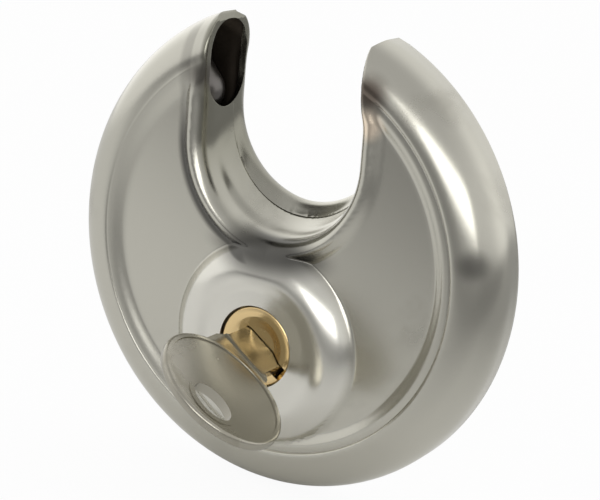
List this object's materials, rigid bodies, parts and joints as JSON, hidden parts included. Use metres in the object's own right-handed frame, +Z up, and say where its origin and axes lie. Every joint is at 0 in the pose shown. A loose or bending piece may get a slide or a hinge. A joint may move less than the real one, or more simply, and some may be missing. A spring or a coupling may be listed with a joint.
{
  "type": "discus padlock",
  "caption": "Round flat padlock: a stamped steel case with a U-shaped notch, a curved bar that turns inside the rim, an off-centre key cylinder in a round boss, and its key.",
  "frame": {"origin": "middle of the closed bar, on the middle plane of the case, at the point where the bar crosses the notch", "axes": "+Z up out of the notch's open end, +Y from the keyhole side to the blind back, +X to the right seen from the keyhole side"},
  "size_m": [0.07, 0.0366, 0.0673],
  "materials": {
    "stainless_shell": "satin-polished stainless steel, warm grey",
    "shackle_steel": "hardened stainless steel, polished",
    "zinc_core": "raw zinc die casting",
    "cylinder_brass": "milled brass",
    "plug_brass": "turned brass, bright face",
    "pin_brass": "turned brass",
    "pin_nickel": "turned nickel silver",
    "spring_steel": "bright spring wire",
    "hard_steel": "hardened steel, lightly oiled",
    "key_nickel": "nickel-plated brass, slightly rubbed"
  },
  "bodies": {
    "casing": {"front_shell": "stainless_shell", "rear_shell": "stainless_shell", "core_block": "zinc_core", "cylinder_body": "cylinder_brass", "guard_plate": "hard_steel", "chamber_strip": "cylinder_brass", "cylinder_screws": "hard_steel", "driver_pin_1": "pin_nickel", "driver_pin_2": "pin_nickel", "driver_pin_3": "pin_nickel", "driver_pin_4": "pin_nickel", "pin_spring_1": "spring_steel", "pin_spring_2": "spring_steel", "pin_spring_3": "spring_steel", "pin_spring_4": "spring_steel"},
    "shackle": {"shackle_bar": "shackle_steel", "shackle_arm": "hard_steel", "arm_rivets": "hard_steel"},
    "cylinder_plug": {"plug": "plug_brass", "key_pin_1": "pin_brass", "key_pin_2": "pin_brass", "key_pin_3": "pin_brass", "key_pin_4": "pin_brass", "drive_cam": "hard_steel", "drive_pin": "hard_steel", "cam_clip": "spring_steel"},
    "turning_key": {"key": "key_nickel"}
  },
  "joints": [
    {"name": "shackle_swing", "type": "hinge", "parent": "casing", "child": "shackle", "pos_m": [0, 0, -0.0283], "axis": [0, 1, 0], "range_deg": [0, 75]},
    {"name": "key_turn", "type": "hinge", "parent": "casing", "child": "cylinder_plug", "pos_m": [0, 0, -0.04135], "axis": [0, 1, 0], "range_deg": [-124, 0]},
    {"name": "key_pull", "type": "slide", "parent": "cylinder_plug", "child": "turning_key", "axis": [0, -1, 0], "range_m": [0, 0.03]}
  ],
  "couplings": [
    {"joint": "key_turn", "follows": "shackle_swing", "ratio": -1.6533}
  ]
}
